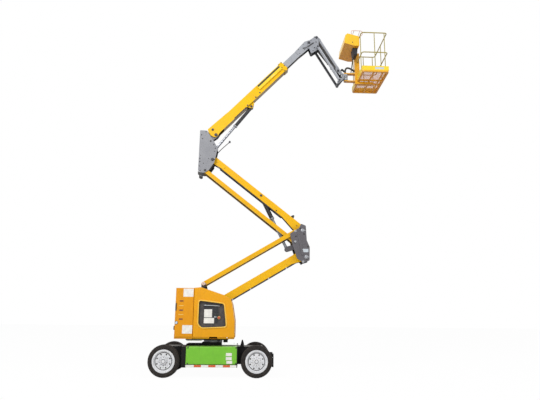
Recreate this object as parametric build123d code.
from build123d import *
import math
import os

# Articulating boom lift: an electric machine on four wheels with a folding riser, a telescopic
# main boom, a jib and a work platform.  Millimetres; +Z is up, +X is the way the boom points.
# The origin is on the ground, below the centre of the slew ring.  Rest pose: boom raised.

# ---------------------------------------------------------------- driving dimensions
# wheels
WHEELBASE = 2030.0
OVERALL_WIDTH = 1750.0
TYRE_OD = 700.0
TYRE_WIDTH = 240.0
RIM_SEAT_R = 222.0
RIM_FLANGE_R = 247.0
RIM_WIDTH = 200.0
RIM_WALL = 8.0
DISC_SETBACK = 34.0          # outer flange to the wheel disc
HAND_HOLES = 8
HAND_HOLE_R = 17.0
HAND_HOLE_PCR = 150.0
HUB_R = 92.0
STUB_R = 45.0
STUB_REACH = 38.0            # past the tyre's middle plane
KINGPIN_INSET = 148.0        # kingpin to the tyre's middle plane
KINGPIN_R = 22.0
STEER_ARM = 190.0

# chassis
FRAME_HALF_LENGTH = 1170.0
FRAME_HALF_WIDTH = 300.0
FRAME_BOTTOM = 250.0
FRAME_TOP = 640.0
FRAME_WALL = 12.0
PEDESTAL_REAR, PEDESTAL_FRONT = -240.0, 200.0
PEDESTAL_TOP = 727.0
HYDRAULIC_BAY_REAR = -600.0
HYDRAULIC_BAY_TOP = 690.0
POD_REAR = -636.0
POD_FRONT = 590.0
POD_HALF_WIDTH = 800.0
POD_END_PLATE = 96.0
POD_END_PLATE_FRONT = 12.0
POD_BOTTOM = 217.0
STRIP_TOP = 277.0
BATTERY_TOP = 657.0
BATTERY_TOP_FAR = 620.0
BATTERY_INNER = 318.0
TIE_DOWN_X = 1385.0
TIE_DOWN_Y = 250.0
TIE_DOWN_Z = 400.0
TIE_DOWN_R = 15.0
TIE_DOWN_EDGE = 35.0         # hole to the end of its plate
AXLE_HALF_HEIGHT = 60.0
AXLE_HALF_DEPTH = 75.0
HUB_MOTOR_R = 105.0

# turntable
SLEW_R = 218.0
SLEW_BORE_R = 130.0
SLEW_HEIGHT = 58.0
BASE_PLATE = 30.0
BASE_REAR, BASE_FRONT = -600.0, 360.0
BASE_HALF_WIDTH = 440.0
TAIL_X = -850.0
SEAM_X = -434.0
NOSE_X = 512.0
TURRET_HALF_WIDTH = 620.0
TAIL_TOP = 1942.0
HOOD_WALL = 5.0
PANEL_GAP = 6.0

# layers across the machine, half values from the middle plane
ARM_HALF = 88.0
UPRIGHT_IN, UPRIGHT_OUT = 95.0, 115.0
UPPER_LINK_IN, UPPER_LINK_OUT = 125.0, 153.0
KNUCKLE_IN, KNUCKLE_OUT = 160.0, 176.0
LOWER_LINK_IN, LOWER_LINK_OUT = 182.0, 210.0
MID_IN, MID_OUT = 217.0, 233.0
HOOD_IN = 245.0

# riser
RISER_PIN = (0.0, 1434.0)
LOWER_LENGTH = 2556.0
LOWER_ANGLE = 30.7
LOWER_LINK_OFFSET = (-262.0, 628.0)
LOWER_ARM_HEIGHT = 186.0
LOWER_ARM_RISE = 118.0       # pin line to the middle of the box
UPPER_PIN_OFFSET = (-89.0, 654.0)
UPPER_LENGTH = 2885.0
UPPER_ANGLE = 38.2
UPPER_LINK_OFFSET = (-175.0, -285.0)
UPPER_ARM_HEIGHT = 156.0
UPPER_ARM_RISE = 50.0
GUSSET_LENGTH = 620.0        # upper arm's side plates, from its pin
ARM_TUBE_HALF = 78.0
ARM_WALL = 8.0
LINK_HEIGHT = 100.0
LINK_EYE_R = 52.0
ARM_PIN_R = 32.0
LINK_PIN_R = 22.0
PIN_CLEAR = 0.08             # radial running clearance of every pin
BORE_START = 80.0            # bottom of a cylinder's bore, from the barrel's pin

# riser cylinder: lug on the middle link, pin in the upper arm
RISER_LUG_OFFSET = (-452.0, 207.0)
RISER_HEAD = (1358.0, 71.0)

# main boom
BOOM_PIN_OFFSET = (62.0, 683.0)
BOOM_ANGLE = 46.7
BOOM_RISE = 100.0            # pivot to the middle line of the boom
BOOM_LENGTH = 2680.0
BOOM_HEIGHT = 250.0
BOOM_HALF_WIDTH = 105.0
BOOM_WALL = 8.0
INNER_HEIGHT = 176.0
INNER_HALF_WIDTH = 72.0
INNER_WALL = 7.0
INNER_START = 1150.0
HEAD_REACH = 3642.0
LIFT_EAR = (1221.0, -85.0)
LIFT_FOOT_OFFSET = (70.0, 345.0)
HEEL_PIN = (41.0, 158.0)
CARRIER_START = 1700.0
CARRIER_LENGTH = 850.0
CARRIER_HEIGHT = 130.0
CARRIER_DEPTH = 40.0

# jib
JIB_PIN_OFFSET = (210.0, 160.0)
JIB_LINK_OFFSET = (16.0, -318.0)
JIB_LENGTH = 1122.0
JIB_ANGLE = -59.5
JIB_HEIGHT = 90.0
JIB_RISE = 33.0
JIB_LINK_HALF_GAP = 176.0
JIB_FOOT_OFFSET = (180.0, -80.0)   # jib cylinder's pin, from the head pin
JIB_CYLINDER_HEAD = (930.0, -66.0)
ROTATOR_REACH = 215.0
ROTATOR_DROP = -152.0

# platform
PLATFORM_GAP = 313.0         # rotator axis to the platform's boom end
PLATFORM_LENGTH = 694.0
PLATFORM_HALF_WIDTH = 650.0
FLOOR_RISE = -85.44          # floor face above the rotary actuator's middle
FLOOR_DEPTH = 45.0
FLOOR_FRAME = 45.0           # width of the frame round the mesh
MESH_PLATE = 4.0
JOIST_WIDTH = 30.0
COLUMN_HALF_X, COLUMN_HALF_Y = 65.0, 55.0
COLUMN_SHIFT = 5.0           # platform's boom end to the column's middle
RAIL_HEIGHT = 1092.0
MID_RAIL_HEIGHT = 528.0
TOE_HEIGHT = 120.0
CONSOLE_FOOT = 795.0         # console's underside above the floor
CONSOLE_DEPTH = 400.0
CONSOLE_Y0, CONSOLE_Y1 = -450.0, 420.0
RAIL_R = 14.0
POST_R = 11.0

os.makedirs("parts", exist_ok=True)


# ---------------------------------------------------------------- helpers
def save(name, shape):
    """Write one node as a STEP file."""
    shape.label = name
    export_step(shape, f"parts/{name}.step")


def polar(start, angle, length):
    """A point in the side view, at a distance from another."""
    turn = math.radians(angle)
    return (start[0] + length * math.cos(turn), start[1] + length * math.sin(turn))


def shifted(point, offset):
    return (point[0] + offset[0], point[1] + offset[1])


def right_frame(point, angle):
    """Side-view frame whose x runs right at the angle and whose y runs up."""
    turn = math.radians(angle)
    return Plane(origin=(point[0], 0, point[1]), x_dir=(math.cos(turn), 0, math.sin(turn)), z_dir=(0, -1, 0))


def left_frame(point, angle):
    """Side-view frame whose x runs left at the angle above level and whose y runs up."""
    turn = math.radians(angle)
    return Plane(origin=(point[0], 0, point[1]), x_dir=(-math.cos(turn), 0, math.sin(turn)), z_dir=(0, 1, 0))


def layer(frame, face, low, high):
    """Extrude a side-view face between two distances along the frame's normal."""
    return frame * (Pos(0, 0, low) * extrude(face, high - low, dir=(0, 0, 1)))


def both_sides(frame, face, low, high):
    """The same plate on both sides of the middle plane."""
    return layer(frame, face, low, high) + layer(frame, face, -high, -low)


def hull(discs):
    """A face round a ring of discs, each given as x, y, radius."""
    edges = []
    for x, y, radius in discs:
        edges += (Pos(x, y) * Circle(radius)).edges()
    return make_hull(edges)


def outline(points, radius=0.0):
    """A polygon with every corner rounded alike."""
    face = Polygon(*points, align=None)
    if radius > 0:
        face = fillet(face.vertices(), radius)
    return face


def pin(frame, x, y, radius, low, high):
    """A cylinder across the machine between two distances from the middle plane."""
    return frame * (Pos(x, y, (low + high) / 2) * Cylinder(radius, high - low))


def through(frame, x, y, radius, half):
    return pin(frame, x, y, radius, -half, half)


def box_tube(frame, start, end, rise, height, half_width, wall):
    """A hollow rectangular arm along the frame's x."""
    middle = (start + end) / 2
    outer = Box(end - start, height, 2 * half_width)
    outer = fillet(outer.edges().filter_by(Axis.X), wall)
    inner = Box(end - start + 2, height - 2 * wall, 2 * (half_width - wall))
    return frame * (Pos(middle, rise, 0) * (outer - inner))


def block(x0, x1, y0, y1, z0, z1):
    """An axis-aligned block from its six faces."""
    return Pos((x0 + x1) / 2, (y0 + y1) / 2, (z0 + z1) / 2) * Box(x1 - x0, y1 - y0, z1 - z0)


WORLD = right_frame((0, 0), 0)

# ---------------------------------------------------------------- joint centres in the side view
LOWER_PIN = RISER_PIN
LOWER_LINK_PIN = shifted(LOWER_PIN, LOWER_LINK_OFFSET)
MID_PIN = polar(LOWER_PIN, LOWER_ANGLE, LOWER_LENGTH)
MID_LINK_PIN = shifted(MID_PIN, LOWER_LINK_OFFSET)
UPPER_PIN = shifted(MID_PIN, UPPER_PIN_OFFSET)
UPPER_LINK_PIN = shifted(UPPER_PIN, UPPER_LINK_OFFSET)
KNUCKLE_PIN = polar(UPPER_PIN, 180 - UPPER_ANGLE, UPPER_LENGTH)
KNUCKLE_LINK_PIN = shifted(KNUCKLE_PIN, UPPER_LINK_OFFSET)
BOOM_PIN = shifted(KNUCKLE_PIN, BOOM_PIN_OFFSET)
BOOM_LINE = polar(BOOM_PIN, BOOM_ANGLE + 90, BOOM_RISE)
HEAD_PIN = polar(BOOM_LINE, BOOM_ANGLE, HEAD_REACH)
JIB_PIN = shifted(HEAD_PIN, JIB_PIN_OFFSET)
JIB_LINK_PIN = shifted(JIB_PIN, JIB_LINK_OFFSET)
JIB_END_PIN = polar(JIB_PIN, JIB_ANGLE, JIB_LENGTH)
JIB_LINK_END_PIN = shifted(JIB_END_PIN, JIB_LINK_OFFSET)
ROTATOR_AXIS = (JIB_END_PIN[0] + ROTATOR_REACH, 0.0)
FLOOR_Z = JIB_END_PIN[1] + ROTATOR_DROP + FLOOR_RISE
RISER_LUG = shifted(MID_PIN, RISER_LUG_OFFSET)
LIFT_FOOT = shifted(KNUCKLE_PIN, LIFT_FOOT_OFFSET)

lower_frame = right_frame(LOWER_PIN, LOWER_ANGLE)
upper_frame = left_frame(UPPER_PIN, UPPER_ANGLE)
boom_frame = right_frame(BOOM_PIN, BOOM_ANGLE)
jib_frame = right_frame(JIB_PIN, JIB_ANGLE)

RISER_HEAD_PIN = polar(UPPER_PIN, 180 - UPPER_ANGLE, RISER_HEAD[0])
RISER_HEAD_PIN = polar(RISER_HEAD_PIN, 90 - UPPER_ANGLE, RISER_HEAD[1])
LIFT_EAR_PIN = polar(BOOM_PIN, BOOM_ANGLE, LIFT_EAR[0])
LIFT_EAR_PIN = polar(LIFT_EAR_PIN, BOOM_ANGLE + 90, LIFT_EAR[1])
JIB_FOOT = shifted(HEAD_PIN, JIB_FOOT_OFFSET)
JIB_HEAD = polar(JIB_PIN, JIB_ANGLE, JIB_CYLINDER_HEAD[0])
JIB_HEAD = polar(JIB_HEAD, JIB_ANGLE + 90, JIB_CYLINDER_HEAD[1])


# ---------------------------------------------------------------- wheels
def tyre():
    """Low-profile tyre, axis along Y, open at the rim seat."""
    half = TYRE_WIDTH / 2
    outer = TYRE_OD / 2
    bead = RIM_WIDTH / 2 - 0.5
    with BuildSketch(Plane.XY) as section:
        with BuildLine():
            Polyline(
                (RIM_SEAT_R, bead), (RIM_FLANGE_R + 2, bead), (RIM_FLANGE_R + 12, half - 10), (RIM_FLANGE_R + 40, half),
                (outer - 36, half - 4), (outer - 8, half - 26), (outer, half - 60),
                (outer, -half + 60), (outer - 8, -half + 26), (outer - 36, -half + 4),
                (RIM_FLANGE_R + 40, -half), (RIM_FLANGE_R + 12, -half + 10), (RIM_FLANGE_R + 2, -bead),
                (RIM_SEAT_R, -bead),
                close=True,
            )
        make_face()
    return revolve(section.sketch, Axis.Y)


def rim(side):
    """Steel wheel, axis along Y; side is -1 for the near wheels and 1 for the far ones."""
    half = RIM_WIDTH / 2
    seat = RIM_SEAT_R - 0.3
    barrel = Rot(90, 0, 0) * (Cylinder(seat, RIM_WIDTH) - Cylinder(seat - RIM_WALL, RIM_WIDTH + 2))
    lip = Rot(90, 0, 0) * (Cylinder(RIM_FLANGE_R, 7) - Cylinder(seat - RIM_WALL, 9))
    body = barrel + Pos(0, half + 3.5, 0) * lip + Pos(0, -half - 3.5, 0) * lip
    disc_y = side * (half - DISC_SETBACK)
    disc = Rot(90, 0, 0) * Cylinder(seat - 2, 14)
    hub = Rot(90, 0, 0) * Cylinder(HUB_R, 90)
    body += Pos(0, disc_y, 0) * disc + Pos(0, disc_y - side * 30, 0) * hub
    for index in range(HAND_HOLES):
        turn = math.radians(360 / HAND_HOLES * (index + 0.5))
        spot = Pos(HAND_HOLE_PCR * math.cos(turn), disc_y, HAND_HOLE_PCR * math.sin(turn))
        body -= spot * Rot(90, 0, 0) * Cylinder(HAND_HOLE_R, 40)
    bore_length = 100.0
    bore_middle = side * (STUB_REACH + 0.3 - bore_length / 2)
    body -= Pos(0, bore_middle, 0) * Rot(90, 0, 0) * Cylinder(STUB_R + PIN_CLEAR, bore_length)
    return body


WHEEL_Y = (OVERALL_WIDTH - TYRE_WIDTH) / 2
WHEEL_Z = TYRE_OD / 2
AXLE_X = WHEELBASE / 2
WHEELS = [
    ("rear_near", -AXLE_X, -1), ("rear_far", -AXLE_X, 1),
    ("front_near", AXLE_X, -1), ("front_far", AXLE_X, 1),
]
for place, x, side in WHEELS:
    spot = Pos(x, side * WHEEL_Y, WHEEL_Z)
    save(f"tyre_{place}", spot * tyre())
    save(f"rim_{place}", spot * rim(side))

# ---------------------------------------------------------------- axles and steering
STUB_END = WHEEL_Y + STUB_REACH
rear_axle = block(
    -AXLE_X - AXLE_HALF_DEPTH, -AXLE_X + AXLE_HALF_DEPTH,
    -WHEEL_Y + 170, WHEEL_Y - 170, WHEEL_Z - AXLE_HALF_HEIGHT, WHEEL_Z + AXLE_HALF_HEIGHT,
)
rear_frame = right_frame((-AXLE_X, WHEEL_Z), 0)
for side in (-1, 1):
    low, high = sorted((side * (WHEEL_Y - 200), side * (WHEEL_Y - 60)))
    rear_axle += pin(rear_frame, 0, 0, HUB_MOTOR_R, low, high)
rear_axle += through(rear_frame, 0, 0, STUB_R, STUB_END)
save("axle_rear", rear_axle)

KINGPIN_Y = WHEEL_Y - KINGPIN_INSET
front_axle = block(
    AXLE_X - AXLE_HALF_DEPTH + 15, AXLE_X + AXLE_HALF_DEPTH - 15,
    -KINGPIN_Y + 60, KINGPIN_Y - 60, WHEEL_Z - AXLE_HALF_HEIGHT, WHEEL_Z + AXLE_HALF_HEIGHT,
)
for side in (-1, 1):
    for level in (-1, 1):
        ear = Pos(AXLE_X, side * (KINGPIN_Y - 40), WHEEL_Z + level * 78) * Box(90, 130, 28)
        front_axle += ear
    front_axle += Pos(AXLE_X, side * (KINGPIN_Y - 88), WHEEL_Z) * Box(90, 34, 184)
    front_axle += Pos(AXLE_X, side * KINGPIN_Y, WHEEL_Z) * Cylinder(KINGPIN_R, 200)
save("axle_front", front_axle)


def knuckle(side):
    """Steering knuckle: kingpin boss, wheel stub and a steering arm reaching back."""
    body = Pos(0, side * KINGPIN_Y, WHEEL_Z) * Cylinder(48, 116)
    low, high = sorted((side * (KINGPIN_Y + 20), side * STUB_END))
    body += pin(right_frame((0, WHEEL_Z), 0), 0, 0, STUB_R, -high, -low)
    arm = Pos(-STEER_ARM / 2, side * KINGPIN_Y, WHEEL_Z - 20) * Box(STEER_ARM, 40, 22)
    body += arm + Pos(-STEER_ARM, side * KINGPIN_Y, WHEEL_Z - 20) * Cylinder(22, 22)
    body -= Pos(0, side * KINGPIN_Y, WHEEL_Z) * Cylinder(KINGPIN_R + PIN_CLEAR, 140)
    body -= Pos(-STEER_ARM, side * KINGPIN_Y, WHEEL_Z - 20) * Cylinder(12 + PIN_CLEAR, 60)
    return Pos(AXLE_X, 0, 0) * body


save("knuckle_near", knuckle(-1))
save("knuckle_far", knuckle(1))

tie_z = WHEEL_Z - 20 - 11 - 6 - 14
tie_rod = Pos(AXLE_X - STEER_ARM, 0, tie_z) * Rot(90, 0, 0) * Cylinder(16, 2 * KINGPIN_Y - 40)
for side in (-1, 1):
    tie_rod += Pos(AXLE_X - STEER_ARM, side * KINGPIN_Y, tie_z) * Cylinder(22, 28)
    tie_rod += Pos(AXLE_X - STEER_ARM, side * KINGPIN_Y, tie_z + 26) * Cylinder(12, 46)
save("tie_rod", tie_rod)

# ---------------------------------------------------------------- chassis
spine = block(-FRAME_HALF_LENGTH, FRAME_HALF_LENGTH, -FRAME_HALF_WIDTH, FRAME_HALF_WIDTH, FRAME_BOTTOM, FRAME_TOP)
spine -= block(
    -FRAME_HALF_LENGTH + FRAME_WALL, FRAME_HALF_LENGTH - FRAME_WALL,
    -FRAME_HALF_WIDTH + FRAME_WALL, FRAME_HALF_WIDTH - FRAME_WALL,
    FRAME_BOTTOM + FRAME_WALL, FRAME_TOP - FRAME_WALL,
)
chassis = spine
for x, half_depth in ((-AXLE_X, AXLE_HALF_DEPTH), (AXLE_X, AXLE_HALF_DEPTH - 15)):
    chassis -= block(
        x - half_depth, x + half_depth, -FRAME_HALF_WIDTH - 5, FRAME_HALF_WIDTH + 5,
        WHEEL_Z - AXLE_HALF_HEIGHT, WHEEL_Z + AXLE_HALF_HEIGHT,
    )
chassis -= block(
    AXLE_X - STEER_ARM - 75, AXLE_X - STEER_ARM + 75, -FRAME_HALF_WIDTH - 5, FRAME_HALF_WIDTH + 5,
    tie_z - 34, WHEEL_Z + 14,
)
chassis += block(
    PEDESTAL_REAR, PEDESTAL_FRONT, -FRAME_HALF_WIDTH + 20, FRAME_HALF_WIDTH - 20, FRAME_TOP - 2, PEDESTAL_TOP
)
chassis += block(
    HYDRAULIC_BAY_REAR, PEDESTAL_REAR + 2, -FRAME_HALF_WIDTH + 30, FRAME_HALF_WIDTH - 30, FRAME_TOP - 2, HYDRAULIC_BAY_TOP
)
for side in (-1, 1):
    inner, outer = sorted((side * (FRAME_HALF_WIDTH - 6), side * POD_HALF_WIDTH))
    lid = BATTERY_TOP if side < 0 else BATTERY_TOP_FAR
    chassis += block(POD_REAR, POD_REAR + POD_END_PLATE, inner, outer, POD_BOTTOM, lid + 4)
    chassis += block(POD_FRONT - POD_END_PLATE_FRONT, POD_FRONT, inner, outer, POD_BOTTOM, lid + 4)
    chassis += block(POD_REAR, POD_FRONT, inner, outer, POD_BOTTOM + 6, STRIP_TOP)
for end in (-1, 1):
    root, tip = end * (FRAME_HALF_LENGTH - 8), end * (TIE_DOWN_X + TIE_DOWN_EDGE)
    plate = outline([
        (root, FRAME_BOTTOM + 5), (tip, TIE_DOWN_Z - 220), (tip, TIE_DOWN_Z + 85), (root, TIE_DOWN_Z + 85),
    ], 10) - Pos(end * TIE_DOWN_X, TIE_DOWN_Z) * Circle(TIE_DOWN_R)
    chassis += both_sides(WORLD, plate, TIE_DOWN_Y - 10, TIE_DOWN_Y + 10)
save("chassis_frame", chassis)

BATTERY_X0 = POD_REAR + POD_END_PLATE + 1.5
BATTERY_X1 = POD_FRONT - POD_END_PLATE_FRONT - 1.5
for name, side, top in (("battery_box_near", -1, BATTERY_TOP), ("battery_box_far", 1, BATTERY_TOP_FAR)):
    inner, outer = sorted((side * BATTERY_INNER, side * (POD_HALF_WIDTH - 4)))
    shell = block(BATTERY_X0, BATTERY_X1, inner, outer, STRIP_TOP, top)
    shell = fillet(shell.edges().filter_by(Axis.X), 22)
    save(name, shell)

for name, side in (("side_strip_near", -1), ("side_strip_far", 1)):
    inner, outer = sorted((side * POD_HALF_WIDTH, side * (POD_HALF_WIDTH + 6)))
    save(name, block(BATTERY_X0, BATTERY_X1, inner, outer, POD_BOTTOM + 8, STRIP_TOP - 4))

# ---------------------------------------------------------------- slew ring and turntable
SLEW_TOP = PEDESTAL_TOP + SLEW_HEIGHT
slew = Pos(0, 0, PEDESTAL_TOP + SLEW_HEIGHT / 2 - 1) * (Cylinder(SLEW_R, SLEW_HEIGHT - 2) - Cylinder(SLEW_BORE_R, SLEW_HEIGHT))
save("slew_ring", slew)

BASE_TOP = SLEW_TOP + BASE_PLATE
HOOD_BOTTOM = BASE_TOP
turntable = block(BASE_REAR, BASE_FRONT, -BASE_HALF_WIDTH, BASE_HALF_WIDTH, SLEW_TOP, BASE_TOP)
turntable += Pos(BASE_FRONT - 60, -200, SLEW_TOP - 28) * Cylinder(52, 60)
turntable += Pos(0, 0, SLEW_TOP - 13) * Cylinder(SLEW_BORE_R - 1, 30)
outer_upright = hull([
    (LOWER_LINK_PIN[0], LOWER_LINK_PIN[1], 46), (LOWER_LINK_PIN[0] + 20, BASE_TOP + 56, 60),
    (LOWER_LINK_PIN[0] + 250, BASE_TOP + 56, 60),
])
turntable += both_sides(WORLD, outer_upright, MID_IN, MID_OUT)
turntable += block(-270, 210, -UPRIGHT_IN - 5, UPRIGHT_IN + 5, BASE_TOP - 2, BASE_TOP + 20)
for x in (-180.0, 130.0):
    turntable += block(x - 6, x + 6, -MID_IN - 5, MID_IN + 5, BASE_TOP - 2, BASE_TOP + 110)
for side in (-1, 1):
    low, high = sorted((side * (LOWER_LINK_IN - 2), side * (MID_OUT + 6)))
    turntable += pin(WORLD, LOWER_LINK_PIN[0], LOWER_LINK_PIN[1], LINK_PIN_R, low, high)
cheek = outline(
    [(-290, BASE_TOP), (-60, LOWER_PIN[1] + 80), (60, LOWER_PIN[1] + 80), (230, BASE_TOP)], 40
)
riser_pin = through(WORLD, LOWER_PIN[0], LOWER_PIN[1], ARM_PIN_R, UPRIGHT_OUT + 6)
cheeks = both_sides(WORLD, cheek, UPRIGHT_IN, UPRIGHT_OUT) - riser_pin
save("riser_pin", riser_pin)
save("riser_cheeks", cheeks)
save("turntable", turntable - cheeks)

# counterweight: a solid tail with a slot for the folded riser
tail = block(TAIL_X, SEAM_X - PANEL_GAP / 2, -TURRET_HALF_WIDTH, TURRET_HALF_WIDTH, HOOD_BOTTOM, TAIL_TOP)
tail = fillet(tail.edges().filter_by(Axis.Z).group_by(Axis.X)[0], 60)
tail -= block(TAIL_X - 5, SEAM_X + 5, -HOOD_IN, HOOD_IN, BASE_TOP + 160, TAIL_TOP + 5)
save("counterweight", tail)

# hoods: hollow pressings on both sides of the riser
HOOD_PROFILE = [
    (SEAM_X + PANEL_GAP / 2, HOOD_BOTTOM), (SEAM_X + PANEL_GAP / 2, 1950), (-285, 1966), (238, 1798),
    (404, 1706), (446, 1604), (NOSE_X, 1212), (NOSE_X, HOOD_BOTTOM),
]
WINDOW = [(-312, 1662), (256, 1592), (318, 1084), (-232, 1062), (-312, 1142)]
WINDOW_DEPTH = 60.0
NOTCH = [(-70, HOOD_BOTTOM - 5), (-50, 862), (125, 862), (145, HOOD_BOTTOM - 5)]
PANEL = [(-190, 1580), (120, 1545), (120, 1170), (-190, 1170)]
HOOD_EDGE_R = 22.0
hood_face = fillet(Polygon(*HOOD_PROFILE, align=None).vertices().sort_by(Axis.X)[2:], 24)
window_face = outline(WINDOW, 30)
cavity_face = offset(hood_face, -HOOD_WALL, kind=Kind.INTERSECTION)
for name, side in (("hood_near", -1), ("hood_far", 1)):
    low, high = sorted((-side * HOOD_IN, -side * TURRET_HALF_WIDTH))
    shell = layer(WORLD, hood_face, low, high)
    outer_edges = shell.faces().sort_by(Axis.Y)[0 if side < 0 else -1].edges()
    shell = fillet(outer_edges, HOOD_EDGE_R)
    core_low, core_high = sorted((-side * (HOOD_IN - 5), -side * (TURRET_HALF_WIDTH - HOOD_WALL)))
    core = layer(WORLD, cavity_face, core_low, core_high)
    core_edges = core.faces().sort_by(Axis.Y)[0 if side < 0 else -1].edges()
    shell -= fillet(core_edges, HOOD_EDGE_R - HOOD_WALL)
    if side < 0:
        tray_low = TURRET_HALF_WIDTH - WINDOW_DEPTH
        shell += layer(WORLD, offset(window_face, 6), tray_low - 6, TURRET_HALF_WIDTH - 2)
        shell -= layer(WORLD, window_face, tray_low, TURRET_HALF_WIDTH + 5)
        shell -= layer(WORLD, Polygon(*NOTCH, align=None), TURRET_HALF_WIDTH - 40, TURRET_HALF_WIDTH + 5)
    save(name, shell)

# ground controls in the near hood's recess
panel_face = outline(PANEL, 20)
panel = layer(WORLD, panel_face, TURRET_HALF_WIDTH - WINDOW_DEPTH, TURRET_HALF_WIDTH - WINDOW_DEPTH + 26)
save("ground_panel", panel)

# ---------------------------------------------------------------- riser
# Lower arm: box above its pin line, ears at both ends, a slot over the cylinder's lug.
lower_arm = box_tube(lower_frame, 60, LOWER_LENGTH - 40, LOWER_ARM_RISE, LOWER_ARM_HEIGHT, ARM_TUBE_HALF, ARM_WALL)
foot_ear = hull([(0, 0, 66), (70, LOWER_ARM_RISE, 78), (360, LOWER_ARM_RISE, 70)])
head_ear = hull([
    (LOWER_LENGTH, 0, 66), (LOWER_LENGTH - 40, LOWER_ARM_RISE, 78), (LOWER_LENGTH - 420, LOWER_ARM_RISE, 70)
])
for ear in (foot_ear, head_ear):
    lower_arm += both_sides(lower_frame, ear, ARM_TUBE_HALF - 2, ARM_HALF)
for x in (0, LOWER_LENGTH):
    lower_arm += through(lower_frame, x, 0, 54, ARM_HALF)
    lower_arm -= through(lower_frame, x, 0, ARM_PIN_R + PIN_CLEAR, ARM_HALF + 5)
slot_top = LOWER_ARM_RISE + LOWER_ARM_HEIGHT / 2
lower_arm -= lower_frame * (Pos(LOWER_LENGTH - 500, slot_top, 0) * Box(760, 2 * ARM_WALL + 2, 132))
save("lower_arm", lower_arm)


def link_pair(frame, length, low, high):
    """Two flat bars side by side, with an eye at each end."""
    bar = outline([(0, -LINK_HEIGHT / 2), (length, -LINK_HEIGHT / 2), (length, LINK_HEIGHT / 2), (0, LINK_HEIGHT / 2)])
    face = bar + Circle(LINK_EYE_R) + Pos(length, 0) * Circle(LINK_EYE_R)
    face -= Circle(LINK_PIN_R + PIN_CLEAR) + Pos(length, 0) * Circle(LINK_PIN_R + PIN_CLEAR)
    return both_sides(frame, face, low, high)


lower_link_frame = right_frame(LOWER_LINK_PIN, LOWER_ANGLE)
save("lower_link", link_pair(lower_link_frame, LOWER_LENGTH, LOWER_LINK_IN, LOWER_LINK_OUT))

# Middle link: two plates joined by the arm pins and a cross tube that carries the cylinder's lug.
mid_frame = right_frame(MID_PIN, 0)
MID_OUTLINE = [
    (-395, 564), (-173, 709), (-123, 818), (-4, 772), (18, 405), (88, 243), (85, -86), (-79, -134), (-219, -44),
    (-346, 352),
]
mid_link = both_sides(mid_frame, outline(MID_OUTLINE, 30), MID_IN, MID_OUT)
CROSS_TUBE = (-60.0, 335.0)
mid_link += through(mid_frame, CROSS_TUBE[0], CROSS_TUBE[1], 50, MID_IN + 2)
lug = hull([(CROSS_TUBE[0], CROSS_TUBE[1], 62), (RISER_LUG_OFFSET[0], RISER_LUG_OFFSET[1], 60)])
mid_link += both_sides(mid_frame, lug, 44, 58)
mid_link += through(mid_frame, 0, 0, ARM_PIN_R, MID_OUT + 6)
mid_link += through(mid_frame, UPPER_PIN_OFFSET[0], UPPER_PIN_OFFSET[1], ARM_PIN_R, MID_OUT + 6)
link_spot = shifted(UPPER_PIN_OFFSET, UPPER_LINK_OFFSET)
for side in (-1, 1):
    low, high = sorted((side * (LOWER_LINK_IN - 2), side * (MID_OUT + 6)))
    mid_link += pin(mid_frame, LOWER_LINK_OFFSET[0], LOWER_LINK_OFFSET[1], LINK_PIN_R, low, high)
    low, high = sorted((side * (UPPER_LINK_IN - 2), side * (MID_OUT + 6)))
    mid_link += pin(mid_frame, link_spot[0], link_spot[1], LINK_PIN_R, low, high)
save("mid_link", mid_link)

# Upper arm: a channel open below, so that the cylinder folds into it.
upper_arm = box_tube(upper_frame, -30, UPPER_LENGTH - 20, UPPER_ARM_RISE, UPPER_ARM_HEIGHT, ARM_TUBE_HALF, ARM_WALL)
upper_bottom = UPPER_ARM_RISE - UPPER_ARM_HEIGHT / 2
upper_arm -= upper_frame * (
    Pos(UPPER_LENGTH / 2, upper_bottom, 0) * Box(UPPER_LENGTH - 500, 2 * ARM_WALL + 2, 2 * (ARM_TUBE_HALF - ARM_WALL))
)
gusset = outline([
    (-70, 100), (-70, -40), (60, -96), (210, -96), (GUSSET_LENGTH, upper_bottom + 5), (GUSSET_LENGTH, 110), (0, 120),
], 20)
knuckle_ear = hull([(UPPER_LENGTH, 0, 62), (UPPER_LENGTH - 60, UPPER_ARM_RISE, 72), (UPPER_LENGTH - 300, UPPER_ARM_RISE, 66)])
for ear in (gusset, knuckle_ear):
    upper_arm += both_sides(upper_frame, ear, ARM_TUBE_HALF - 2, ARM_HALF)
for x in (0, UPPER_LENGTH):
    upper_arm += through(upper_frame, x, 0, 54, ARM_HALF)
    upper_arm -= through(upper_frame, x, 0, ARM_PIN_R + PIN_CLEAR, ARM_HALF + 5)
upper_arm += through(upper_frame, RISER_HEAD[0], RISER_HEAD[1], 26, ARM_HALF + 4)
save("upper_arm", upper_arm)

upper_link_frame = left_frame(UPPER_LINK_PIN, UPPER_ANGLE)
save("upper_link", link_pair(upper_link_frame, UPPER_LENGTH, UPPER_LINK_IN, UPPER_LINK_OUT))

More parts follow.
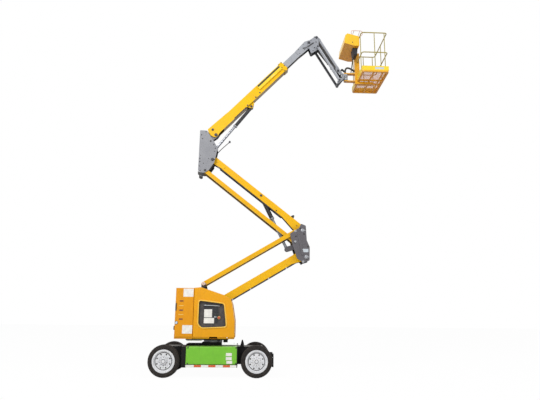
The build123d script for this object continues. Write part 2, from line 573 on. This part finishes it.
# Upper knuckle: outer plates on the arms, inner plates for the boom pivot and the lift cylinder.
knuckle_frame = right_frame(KNUCKLE_PIN, 0)
KNUCKLE_OUTLINE = [
    (-341, 778), (-159, 769), (-75, 619), (22, 484), (122, 310), (90, 140), (40, -90), (-80, -275), (-190, -350),
    (-300, -345), (-352, -290),
]
upper_knuckle = both_sides(knuckle_frame, outline(KNUCKLE_OUTLINE, 18), KNUCKLE_IN, KNUCKLE_OUT)
inner_plate = hull([(-200, 330, 60), (-200, 600, 60)])
inner_plate += hull([(BOOM_PIN_OFFSET[0], BOOM_PIN_OFFSET[1], 62), (-200, 600, 58), (-200, 480, 58)])
inner_plate += hull([(LIFT_FOOT_OFFSET[0], LIFT_FOOT_OFFSET[1], 50), (-200, 330, 58), (-200, 430, 58)])
upper_knuckle += both_sides(knuckle_frame, inner_plate, 58, 74)
for x, z in ((-200, 330), (-200, 600)):
    upper_knuckle += through(knuckle_frame, x, z, 42, KNUCKLE_IN + 2)
upper_knuckle += through(knuckle_frame, 0, 0, ARM_PIN_R, KNUCKLE_OUT + 6)
upper_knuckle += through(knuckle_frame, BOOM_PIN_OFFSET[0], BOOM_PIN_OFFSET[1], ARM_PIN_R, BOOM_HALF_WIDTH + 14)
for side in (-1, 1):
    low, high = sorted((side * (UPPER_LINK_IN - 2), side * (KNUCKLE_OUT + 6)))
    upper_knuckle += pin(knuckle_frame, UPPER_LINK_OFFSET[0], UPPER_LINK_OFFSET[1], LINK_PIN_R, low, high)
save("upper_knuckle", upper_knuckle)


def cylinder_pair(name, foot, head, barrel_r, rod_r, barrel_end, closing, half_eye, pin_r):
    """A hydraulic cylinder from its barrel's pin to its rod's eye, which can close by a given travel."""
    reach = math.dist(foot, head)
    angle = math.degrees(math.atan2(head[1] - foot[1], head[0] - foot[0]))
    frame = right_frame(foot, angle)
    barrel = frame * (Pos((60 + barrel_end) / 2, 0, 0) * Rot(0, 90, 0) * Cylinder(barrel_r, barrel_end - 60))
    barrel += frame * (Pos(barrel_end - 20, 0, 0) * Rot(0, 90, 0) * Cylinder(barrel_r + 5, 40))
    barrel += frame * (Pos(45, 0, 0) * Box(60, barrel_r * 1.2, 2 * half_eye))
    barrel += through(frame, 0, 0, pin_r + 20, half_eye)
    barrel -= through(frame, 0, 0, pin_r + PIN_CLEAR, half_eye + 5)
    bore_end = barrel_end + 5
    bore = Pos((BORE_START + bore_end) / 2, 0, 0) * Rot(0, 90, 0) * Cylinder(rod_r + PIN_CLEAR, bore_end - BORE_START)
    barrel -= frame * bore
    rod_start, rod_end = BORE_START + closing + 15, reach - 20
    rod = frame * (Pos((rod_start + rod_end) / 2, 0, 0) * Rot(0, 90, 0) * Cylinder(rod_r, rod_end - rod_start))
    rod += through(frame, reach, 0, pin_r + 18, half_eye - 6)
    rod += frame * (Pos(reach - 50, 0, 0) * Rot(0, 90, 0) * Cylinder(rod_r + 5, 60))
    save(name + "_barrel", barrel)
    save(name + "_rod", rod)


cylinder_pair("riser", RISER_HEAD_PIN, RISER_LUG, 52, 36, 660, 353, 40, 26)

# ---------------------------------------------------------------- main boom
# Outer section: a box whose heel is a fork of two side plates round the pivot.
top_edge = BOOM_RISE + BOOM_HEIGHT / 2
bottom_edge = BOOM_RISE - BOOM_HEIGHT / 2
boom_outer = box_tube(boom_frame, 170, BOOM_LENGTH, BOOM_RISE, BOOM_HEIGHT, BOOM_HALF_WIDTH, BOOM_WALL)
heel = outline([
    (-40, top_edge + 33), (-76, top_edge - 25), (-104, 90), (-84, 8), (-40, -46), (40, -46), (120, bottom_edge),
    (650, bottom_edge), (650, top_edge),
], 16)
boom_outer += both_sides(boom_frame, heel, BOOM_HALF_WIDTH - BOOM_WALL, BOOM_HALF_WIDTH + 6)
boom_outer -= boom_frame * (Pos(150, bottom_edge, 0) * Box(240, 60, 2 * (BOOM_HALF_WIDTH - BOOM_WALL)))
boom_outer += through(boom_frame, HEEL_PIN[0], HEEL_PIN[1], 24, BOOM_HALF_WIDTH + 14)
collar = boom_frame * (Pos(BOOM_LENGTH - 60, BOOM_RISE, 0) * Box(120, BOOM_HEIGHT + 24, 2 * BOOM_HALF_WIDTH + 24))
collar -= boom_frame * (
    Pos(BOOM_LENGTH - 60, BOOM_RISE, 0) * Box(124, BOOM_HEIGHT - 2 * BOOM_WALL, 2 * (BOOM_HALF_WIDTH - BOOM_WALL))
)
boom_outer += collar
ear = hull([
    (LIFT_EAR[0], LIFT_EAR[1], 46), (LIFT_EAR[0] + 120, bottom_edge - 16, 20), (LIFT_EAR[0] - 60, bottom_edge - 16, 20),
])
boom_outer += both_sides(boom_frame, ear, 49, 63)
boom_outer += through(boom_frame, LIFT_EAR[0], LIFT_EAR[1], 28, 69)
boom_outer -= through(boom_frame, 0, 0, ARM_PIN_R + PIN_CLEAR, BOOM_HALF_WIDTH + 20)
save("boom_outer", boom_outer)

carrier = boom_frame * (
    Pos(CARRIER_START + CARRIER_LENGTH / 2, BOOM_RISE + 40, BOOM_HALF_WIDTH + CARRIER_DEPTH / 2)
    * Box(CARRIER_LENGTH, CARRIER_HEIGHT, CARRIER_DEPTH)
)
save("hose_carrier", carrier)

cylinder_pair("lift", LIFT_EAR_PIN, LIFT_FOOT, 44, 31, 700, 235, 34, 28)

# Inner section and head: slides in the outer one on pads, ends in a fork for the jib base.
boom_inner = box_tube(
    boom_frame, INNER_START, HEAD_REACH - 330, BOOM_RISE, INNER_HEIGHT, INNER_HALF_WIDTH, INNER_WALL
)
head_plate = outline([
    (HEAD_REACH - 460, BOOM_RISE - INNER_HEIGHT / 2), (HEAD_REACH - 460, BOOM_RISE + INNER_HEIGHT / 2),
    (HEAD_REACH - 60, BOOM_RISE + 112), (HEAD_REACH + 60, BOOM_RISE + 60), (HEAD_REACH + 60, BOOM_RISE - 60),
    (HEAD_REACH - 60, BOOM_RISE - 112), (HEAD_REACH - 280, BOOM_RISE - 100),
], 24)
boom_inner += both_sides(boom_frame, head_plate, INNER_HALF_WIDTH - INNER_WALL, INNER_HALF_WIDTH + 6)
boom_inner -= through(boom_frame, HEAD_REACH, BOOM_RISE, 28 + PIN_CLEAR, INNER_HALF_WIDTH + 20)
for x in (INNER_START + 60, INNER_START + 560):
    for side in (-1, 1):
        pad_gap = BOOM_HALF_WIDTH - BOOM_WALL - INNER_HALF_WIDTH - 0.3
        boom_inner += boom_frame * (
            Pos(x, BOOM_RISE, side * (INNER_HALF_WIDTH + pad_gap / 2)) * Box(110, INNER_HEIGHT - 30, pad_gap)
        )
        pad_rise = BOOM_HEIGHT / 2 - BOOM_WALL - INNER_HEIGHT / 2 - 0.3
        boom_inner += boom_frame * (
            Pos(x, BOOM_RISE + side * (INNER_HEIGHT / 2 + pad_rise / 2), 0) * Box(110, pad_rise, 90)
        )
save("boom_inner", boom_inner)

# ---------------------------------------------------------------- jib
# Jib base: plates outside the boom's head that stay level while the boom lifts.
BASE_IN, BASE_OUT = 86.0, 100.0
head_frame = right_frame(HEAD_PIN, 0)
base_face = hull([
    (0, 0, 48), (JIB_PIN_OFFSET[0], JIB_PIN_OFFSET[1], 50),
    (JIB_PIN_OFFSET[0] + JIB_LINK_OFFSET[0], JIB_PIN_OFFSET[1] + JIB_LINK_OFFSET[1], 42), (80, -270, 34),
])
jib_base = both_sides(head_frame, base_face, BASE_IN, BASE_OUT)
jib_base += through(head_frame, 0, 0, 28, BASE_OUT + 6)
jib_base += through(head_frame, JIB_PIN_OFFSET[0], JIB_PIN_OFFSET[1], 26, BASE_OUT + 6)
jib_base += through(head_frame, 80, -270, 18, BASE_IN + 2)
jib_base += through(head_frame, JIB_FOOT_OFFSET[0], JIB_FOOT_OFFSET[1], 22, BASE_IN + 2)
link_x = JIB_PIN_OFFSET[0] + JIB_LINK_OFFSET[0]
link_z = JIB_PIN_OFFSET[1] + JIB_LINK_OFFSET[1]
for side in (-1, 1):
    ends = sorted((side * (BASE_IN - 20), side * (JIB_LINK_HALF_GAP + 30)))
    jib_base += pin(head_frame, link_x, link_z, LINK_PIN_R, ends[0], ends[1])
save("jib_base", jib_base)

jib_arm = box_tube(jib_frame, 30, JIB_LENGTH - 20, JIB_RISE, JIB_HEIGHT, 66, 7)
for x in (0, JIB_LENGTH):
    jib_ear = hull([(x, 0, 48), (x + (90 if x == 0 else -90), JIB_RISE, JIB_HEIGHT / 2)])
    jib_arm += both_sides(jib_frame, jib_ear, 62, 78)
    jib_arm += through(jib_frame, x, 0, 42, 78)
    jib_arm -= through(jib_frame, x, 0, 26 + PIN_CLEAR, 84)
jib_lug = hull([
    (JIB_CYLINDER_HEAD[0], JIB_CYLINDER_HEAD[1], 34),
    (JIB_CYLINDER_HEAD[0] - 80, JIB_RISE - JIB_HEIGHT / 2 - 6, 12),
    (JIB_CYLINDER_HEAD[0] + 60, JIB_RISE - JIB_HEIGHT / 2 - 6, 12),
])
jib_arm += both_sides(jib_frame, jib_lug, 39, 53)
save("jib_arm", jib_arm)

jib_link_frame = right_frame(JIB_LINK_PIN, JIB_ANGLE)
jib_bar = Pos(JIB_LENGTH / 2, 0) * Rectangle(JIB_LENGTH, 64) + Circle(40) + Pos(JIB_LENGTH, 0) * Circle(40)
jib_bar -= Circle(LINK_PIN_R + PIN_CLEAR) + Pos(JIB_LENGTH, 0) * Circle(LINK_PIN_R + PIN_CLEAR)
save("jib_links", both_sides(jib_link_frame, jib_bar, JIB_LINK_HALF_GAP, JIB_LINK_HALF_GAP + 24))

# Jib-end bracket and the rotary actuator that it holds.
end_frame = right_frame(JIB_END_PIN, 0)
bracket_face = hull([(0, 0, 46), (ROTATOR_REACH - 75, ROTATOR_DROP + 30, 26)])
bracket_face += hull([(JIB_LINK_OFFSET[0], JIB_LINK_OFFSET[1], 42), (ROTATOR_REACH - 75, ROTATOR_DROP - 30, 26)])
bracket_face += hull([(ROTATOR_REACH - 75, ROTATOR_DROP + 30, 26), (ROTATOR_REACH - 75, ROTATOR_DROP - 30, 26)])
bracket = both_sides(end_frame, bracket_face, BASE_IN, BASE_OUT)
bracket += through(end_frame, 0, 0, 26, BASE_OUT + 6)
bracket += through(end_frame, JIB_LINK_OFFSET[0], JIB_LINK_OFFSET[1], LINK_PIN_R, JIB_LINK_HALF_GAP + 30)
bracket += end_frame * (Pos(ROTATOR_REACH - 75, ROTATOR_DROP, 0) * Box(24, 100, 2 * BASE_OUT))
ROTATOR_Z = JIB_END_PIN[1] + ROTATOR_DROP
bracket += Pos(ROTATOR_AXIS[0] - 45, 0, ROTATOR_Z) * Box(90, 90, 110)
bracket += Pos(ROTATOR_AXIS[0], 0, ROTATOR_Z) * Cylinder(60, 170)
bracket += Pos(ROTATOR_AXIS[0], 0, ROTATOR_Z) * Cylinder(30, 240)
save("jib_bracket", bracket)

# Jib cylinder, between the jib base and the arm.
cylinder_pair("jib", JIB_FOOT, JIB_HEAD, 32, 20, 610, 5, 34, 22)

# ---------------------------------------------------------------- platform
PLATFORM_X0 = ROTATOR_AXIS[0] + PLATFORM_GAP
PLATFORM_X1 = PLATFORM_X0 + PLATFORM_LENGTH
COLUMN_X = PLATFORM_X0 + COLUMN_SHIFT
FLOOR_BOTTOM = FLOOR_Z - FLOOR_DEPTH
support = None
for level in (-1, 1):
    z = ROTATOR_Z + level * 107
    jaw = block(ROTATOR_AXIS[0] - 50, COLUMN_X - COLUMN_HALF_X + 5, -COLUMN_HALF_Y, COLUMN_HALF_Y, z - 12, z + 12)
    jaw = fillet(jaw.edges().filter_by(Axis.Z).group_by(Axis.X)[0], 45)
    jaw -= Pos(ROTATOR_AXIS[0], 0, z) * Cylinder(30 + PIN_CLEAR, 40)
    support = jaw if support is None else support + jaw
support += block(
    COLUMN_X - COLUMN_HALF_X, COLUMN_X + COLUMN_HALF_X, -COLUMN_HALF_Y, COLUMN_HALF_Y,
    FLOOR_BOTTOM - 60, FLOOR_Z + CONSOLE_FOOT,
)
support += block(
    COLUMN_X - COLUMN_HALF_X, PLATFORM_X0 + 0.6 * PLATFORM_LENGTH, -COLUMN_HALF_Y, COLUMN_HALF_Y,
    FLOOR_BOTTOM - 60, FLOOR_BOTTOM,
)
save("platform_support", support)

# Floor: a frame with joists, notched round the column, and the mesh panel that lies in it.
plan = fillet(Rectangle(PLATFORM_LENGTH, 2 * PLATFORM_HALF_WIDTH).vertices(), 50)
hole = Rectangle(PLATFORM_LENGTH - 2 * FLOOR_FRAME, 2 * (PLATFORM_HALF_WIDTH - FLOOR_FRAME))
middle = (PLATFORM_X0 + PLATFORM_X1) / 2
floor = Pos(middle, 0, FLOOR_BOTTOM) * extrude(plan - hole, FLOOR_DEPTH, dir=(0, 0, 1))
MESH_BOTTOM = FLOOR_Z - MESH_PLATE
for share in (0.45, 0.8):
    x = PLATFORM_X0 + share * PLATFORM_LENGTH
    floor += block(
        x - JOIST_WIDTH / 2, x + JOIST_WIDTH / 2, -PLATFORM_HALF_WIDTH + FLOOR_FRAME - 2,
        PLATFORM_HALF_WIDTH - FLOOR_FRAME + 2, FLOOR_BOTTOM, MESH_BOTTOM,
    )
for y in (-COLUMN_HALF_Y - 60, COLUMN_HALF_Y + 60):
    floor += block(
        PLATFORM_X0 + FLOOR_FRAME - 2, PLATFORM_X1 - FLOOR_FRAME + 2, y - JOIST_WIDTH / 2, y + JOIST_WIDTH / 2,
        FLOOR_BOTTOM, MESH_BOTTOM,
    )
column_notch = block(
    PLATFORM_X0 - 5, COLUMN_X + COLUMN_HALF_X + 0.3, -COLUMN_HALF_Y - 0.3, COLUMN_HALF_Y + 0.3,
    FLOOR_BOTTOM - 5, FLOOR_Z + CONSOLE_FOOT + 5,
)
floor -= column_notch
save("platform_floor", floor)

mesh = block(
    PLATFORM_X0 + FLOOR_FRAME + 0.3, PLATFORM_X1 - FLOOR_FRAME - 0.3, -PLATFORM_HALF_WIDTH + FLOOR_FRAME + 0.3,
    PLATFORM_HALF_WIDTH - FLOOR_FRAME - 0.3, MESH_BOTTOM, FLOOR_Z,
)
mesh -= block(
    PLATFORM_X0, COLUMN_X + COLUMN_HALF_X + 8, -COLUMN_HALF_Y - 8, COLUMN_HALF_Y + 8, MESH_BOTTOM - 5, FLOOR_Z + 5
)
save("floor_mesh", mesh)

# Rails: hoops along the sides, posts, and the open gateway on the boom side.
rails = None
for level in (RAIL_HEIGHT, MID_RAIL_HEIGHT):
    z = FLOOR_Z + level - RAIL_R
    loop = [
        (PLATFORM_X0 + RAIL_R, -PLATFORM_HALF_WIDTH + RAIL_R, z), (PLATFORM_X1 - RAIL_R, -PLATFORM_HALF_WIDTH + RAIL_R, z),
        (PLATFORM_X1 - RAIL_R, PLATFORM_HALF_WIDTH - RAIL_R, z), (PLATFORM_X0 + RAIL_R, PLATFORM_HALF_WIDTH - RAIL_R, z),
    ]
    ring = FilletPolyline(*loop, close=True, radius=60)
    profile = Plane(origin=ring @ 0.5, z_dir=ring % 0.5) * Circle(RAIL_R)
    hoop = sweep(profile, path=ring)
    rails = hoop if rails is None else rails + hoop
MID_POST = PLATFORM_X0 + 0.5 * PLATFORM_LENGTH
END_POST = PLATFORM_X1 - RAIL_R - 70
ENTRY_Y = PLATFORM_HALF_WIDTH - 170
for x in (MID_POST, END_POST):
    for y in (-PLATFORM_HALF_WIDTH + RAIL_R, PLATFORM_HALF_WIDTH - RAIL_R):
        rails += Pos(x, y, FLOOR_Z + (RAIL_HEIGHT - RAIL_R) / 2) * Cylinder(POST_R, RAIL_HEIGHT - RAIL_R)
for x, y in ((PLATFORM_X0 + RAIL_R, ENTRY_Y), (PLATFORM_X0 + RAIL_R, -ENTRY_Y), (PLATFORM_X1 - RAIL_R, 0)):
    rails += Pos(x, y, FLOOR_Z + (RAIL_HEIGHT - RAIL_R) / 2) * Cylinder(POST_R, RAIL_HEIGHT - RAIL_R)
rails -= column_notch

# The rails and toe boards are four bolted panels, mitred at the corners.
PANEL_DEPTH = 100.0
deep = PANEL_DEPTH
near_left, near_right = (PLATFORM_X0, -PLATFORM_HALF_WIDTH), (PLATFORM_X1, -PLATFORM_HALF_WIDTH)
far_left, far_right = (PLATFORM_X0, PLATFORM_HALF_WIDTH), (PLATFORM_X1, PLATFORM_HALF_WIDTH)
inner_near_left, inner_near_right = shifted(near_left, (deep, deep)), shifted(near_right, (-deep, deep))
inner_far_left, inner_far_right = shifted(far_left, (deep, -deep)), shifted(far_right, (-deep, -deep))
PANELS = {
    "near": (near_left, near_right, inner_near_right, inner_near_left),
    "far": (far_left, inner_far_left, inner_far_right, far_right),
    "end": (near_right, far_right, inner_far_right, inner_near_right),
    "entry": (near_left, inner_near_left, inner_far_left, far_left),
}


def panel_space(corners):
    """The upright space that one side's panel fills."""
    face = Polygon(*corners, align=None)
    return extrude(Pos(0, 0, FLOOR_Z - 5) * face, RAIL_HEIGHT + 10)


for side, corners in PANELS.items():
    save("platform_rails_" + side, rails & panel_space(corners))

toe = block(PLATFORM_X0, PLATFORM_X1, -PLATFORM_HALF_WIDTH, PLATFORM_HALF_WIDTH, FLOOR_Z, FLOOR_Z + TOE_HEIGHT)
toe -= block(
    PLATFORM_X0 + 4, PLATFORM_X1 - 4, -PLATFORM_HALF_WIDTH + 4, PLATFORM_HALF_WIDTH - 4, FLOOR_Z - 5, FLOOR_Z + 200
)
toe -= rails + column_notch
for side, corners in PANELS.items():
    save("toe_boards_" + side, toe & panel_space(corners))

CONSOLE_X1 = PLATFORM_X0 - 6
CONSOLE_X0 = CONSOLE_X1 - CONSOLE_DEPTH
console_face = outline([
    (CONSOLE_X0, FLOOR_Z + 870), (CONSOLE_X0 + 30, FLOOR_Z + 1100), (CONSOLE_X0 + 90, FLOOR_Z + 1150),
    (CONSOLE_X1, FLOOR_Z + 1070), (CONSOLE_X1, FLOOR_Z + CONSOLE_FOOT), (CONSOLE_X1 - 140, FLOOR_Z + CONSOLE_FOOT),
], 20)
console = layer(WORLD, console_face, -CONSOLE_Y1, -CONSOLE_Y0)
console -= layer(WORLD, offset(console_face, -6), -CONSOLE_Y1 + 6, -CONSOLE_Y0 - 6)
save("control_console", console)
